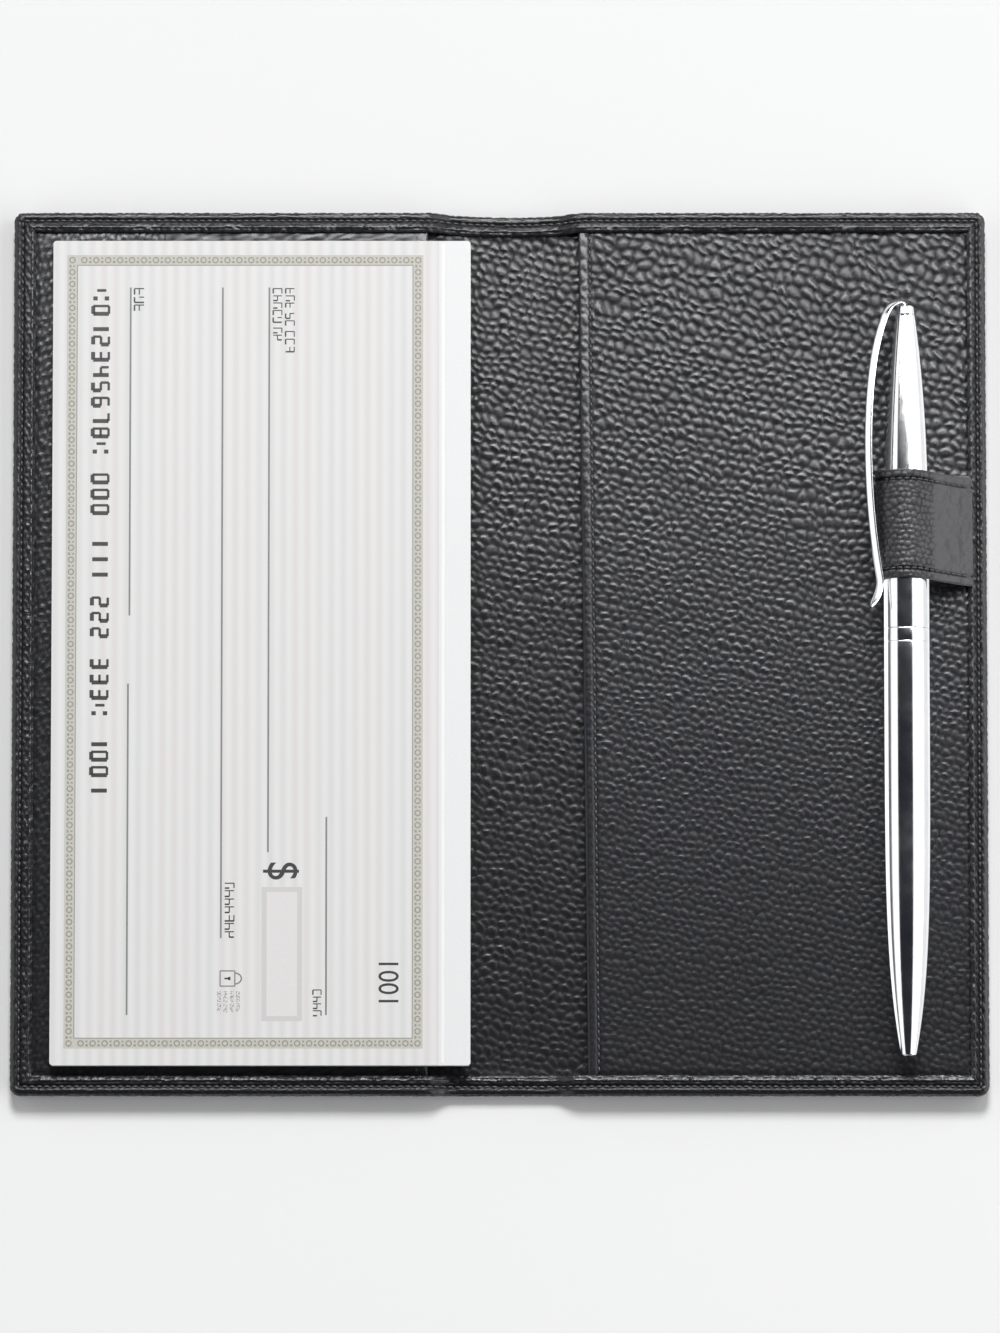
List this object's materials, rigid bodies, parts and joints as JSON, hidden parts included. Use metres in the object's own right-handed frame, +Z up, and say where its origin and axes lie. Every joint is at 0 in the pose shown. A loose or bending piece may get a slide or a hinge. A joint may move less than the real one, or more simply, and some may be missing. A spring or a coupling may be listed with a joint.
{
  "type": "checkbook cover",
  "caption": "Black pebbled-leather checkbook cover, open flat, with two pockets and a pen loop, holding a check pad and a chrome twist ballpoint",
  "frame": {"origin": "centre of the spine's underside with the cover lying open and flat, at the bottom centre of the box", "axes": "+X towards the half with the pen, +Y along the spine towards the pen's clip end, +Z up out of the inside of the cover"},
  "size_m": [0.1796, 0.1634, 0.0135],
  "materials": {
    "hide": "satin",
    "lining": "satin",
    "panel": "satin",
    "board": "matte",
    "paper": "matte",
    "card": "matte",
    "chrome": "polished",
    "brass": "satin",
    "steel": "polished",
    "plastic": "matte"
  },
  "bodies": {
    "right_cover": {"right_outer_leather": "hide", "right_board": "board", "right_lining": "lining", "right_seam_strip": "lining", "right_pocket_panel": "panel", "pen_loop": "panel"},
    "spine": {"spine_outer_leather": "hide", "spine_lining": "lining"},
    "left_cover": {"left_outer_leather": "hide", "left_board": "board", "left_lining": "lining", "left_seam_strip": "lining", "left_pocket_panel": "panel"},
    "pad": {"pad_back_card": "card", "check_pad": "paper"},
    "top_check": {"top_check": "paper"},
    "pen_upper": {"pen_upper_barrel": "chrome", "pen_end_cap": "chrome", "cam_sleeve": "brass"},
    "pen_clip": {"pen_clip": "chrome"},
    "pen_lower": {"pen_lower_barrel": "chrome", "centre_ring": "chrome", "guide_tube": "brass"},
    "refill": {"refill_carrier": "plastic", "ink_tube": "brass", "refill_nose": "brass", "refill_ball": "steel"}
  },
  "joints": [
    {"name": "spine_crease", "type": "hinge", "parent": "right_cover", "child": "spine", "pos_m": [0.005, 0, 0.0025], "axis": [0, 1, 0], "range_deg": [0, 87.5]},
    {"name": "front_crease", "type": "hinge", "parent": "spine", "child": "left_cover", "pos_m": [-0.005, 0, 0.0025], "axis": [0, 1, 0], "range_deg": [0, 88]},
    {"name": "pad_slide", "type": "slide", "parent": "left_cover", "child": "pad", "axis": [-1, 0, 0], "range_m": [-0.019, 0]},
    {"name": "check_turn", "type": "hinge", "parent": "pad", "child": "top_check", "pos_m": [-0.0112, 0, 0.00653], "axis": [0, -1, 0], "range_deg": [-170, 0]},
    {"name": "pen_slide", "type": "slide", "parent": "right_cover", "child": "pen_upper", "axis": [0, 1, 0], "range_m": [0, 0.11]},
    {"name": "clip_flex", "type": "hinge", "parent": "pen_upper", "child": "pen_clip", "pos_m": [0.07475, 0.063, 0.00848], "axis": [-0.4226, 0, -0.9063], "range_deg": [0, 2.5], "stiffness_Nm_per_rad": 0.05},
    {"name": "barrel_twist", "type": "hinge", "parent": "pen_upper", "child": "pen_lower", "pos_m": [0.07475, 0, 0.00848], "axis": [0, 1, 0], "range_deg": [0, 180]},
    {"name": "refill_advance", "type": "slide", "parent": "pen_lower", "child": "refill", "axis": [0, -1, 0], "range_m": [0, 0.003]}
  ],
  "couplings": [
    {"joint": "front_crease", "follows": "spine_crease", "ratio": 1},
    {"joint": "barrel_twist", "follows": "refill_advance", "rad_per_m": 1047.1}
  ]
}
